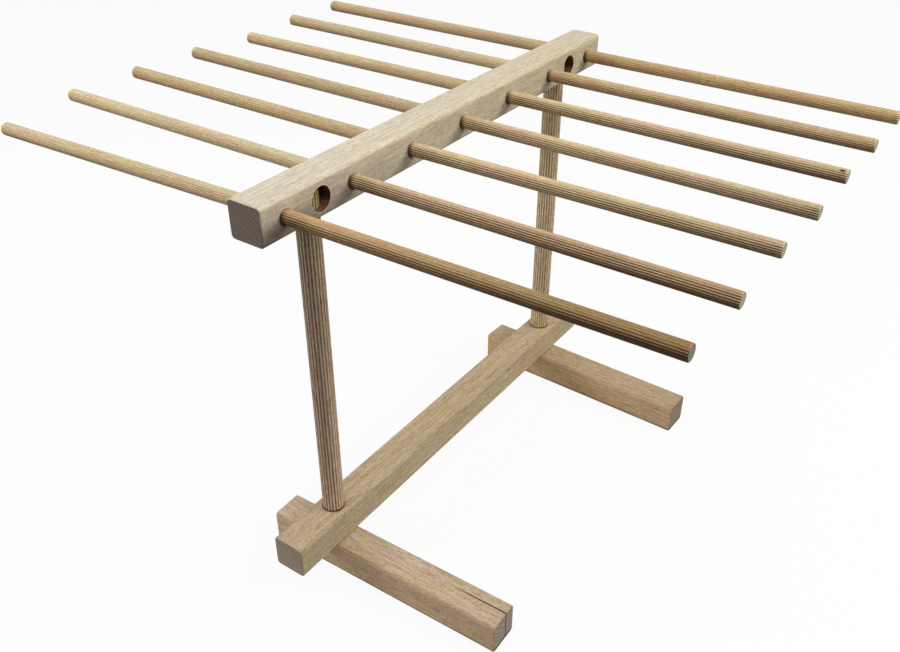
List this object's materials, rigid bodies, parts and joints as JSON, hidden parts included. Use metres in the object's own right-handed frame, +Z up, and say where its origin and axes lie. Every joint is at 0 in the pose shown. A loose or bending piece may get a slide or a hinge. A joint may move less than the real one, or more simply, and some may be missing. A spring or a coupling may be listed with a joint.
{
  "type": "pasta drying rack",
  "caption": "Wooden rack for drying fresh pasta: fluted rods reach out on both sides of a raised beam on two posts, over a lower beam with swivelling feet.",
  "frame": {"origin": "on the surface the rack stands on, below the middle of the two beams", "axes": "+X along the rods and towards the long ends of the feet, +Y along the beams towards the far post, +Z up"},
  "size_m": [0.5254, 0.4, 0.32],
  "materials": {
    "beech_batten": "planed and sanded beech, no lacquer",
    "beech_rod": "fluted beech dowel, bare",
    "beech_post": "fluted beech dowel, bare",
    "zinc_steel": "bright zinc plate"
  },
  "bodies": {
    "base": {"lower_beam": "beech_batten", "post_near": "beech_post", "post_far": "beech_post", "foot_screw_near": "zinc_steel", "foot_screw_far": "zinc_steel", "foot_washer_near": "zinc_steel", "foot_washer_far": "zinc_steel"},
    "top": {"top_beam": "beech_batten", "rod_right_1": "beech_rod", "rod_right_2": "beech_rod", "rod_right_3": "beech_rod", "rod_right_4": "beech_rod", "rod_right_5": "beech_rod", "rod_right_6": "beech_rod", "rod_right_7": "beech_rod", "rod_left_1": "beech_rod", "rod_left_2": "beech_rod", "rod_left_3": "beech_rod", "rod_left_4": "beech_rod", "rod_left_5": "beech_rod", "rod_left_6": "beech_rod", "rod_left_7": "beech_rod"},
    "near_foot": {"foot_near": "beech_batten"},
    "far_foot": {"foot_far": "beech_batten"}
  },
  "joints": [
    {"name": "top_lift", "type": "slide", "parent": "base", "child": "top", "axis": [0, 0, 1], "range_m": [0, 0.06]},
    {"name": "near_foot_swivel", "type": "hinge", "parent": "base", "child": "near_foot", "pos_m": [0, -0.15, 0], "axis": [0, 0, 1], "range_deg": [-1.3, 88.7]},
    {"name": "far_foot_swivel", "type": "hinge", "parent": "base", "child": "far_foot", "pos_m": [0, 0.15, 0], "axis": [0, 0, 1], "range_deg": [-88.3, 1.7]}
  ]
}
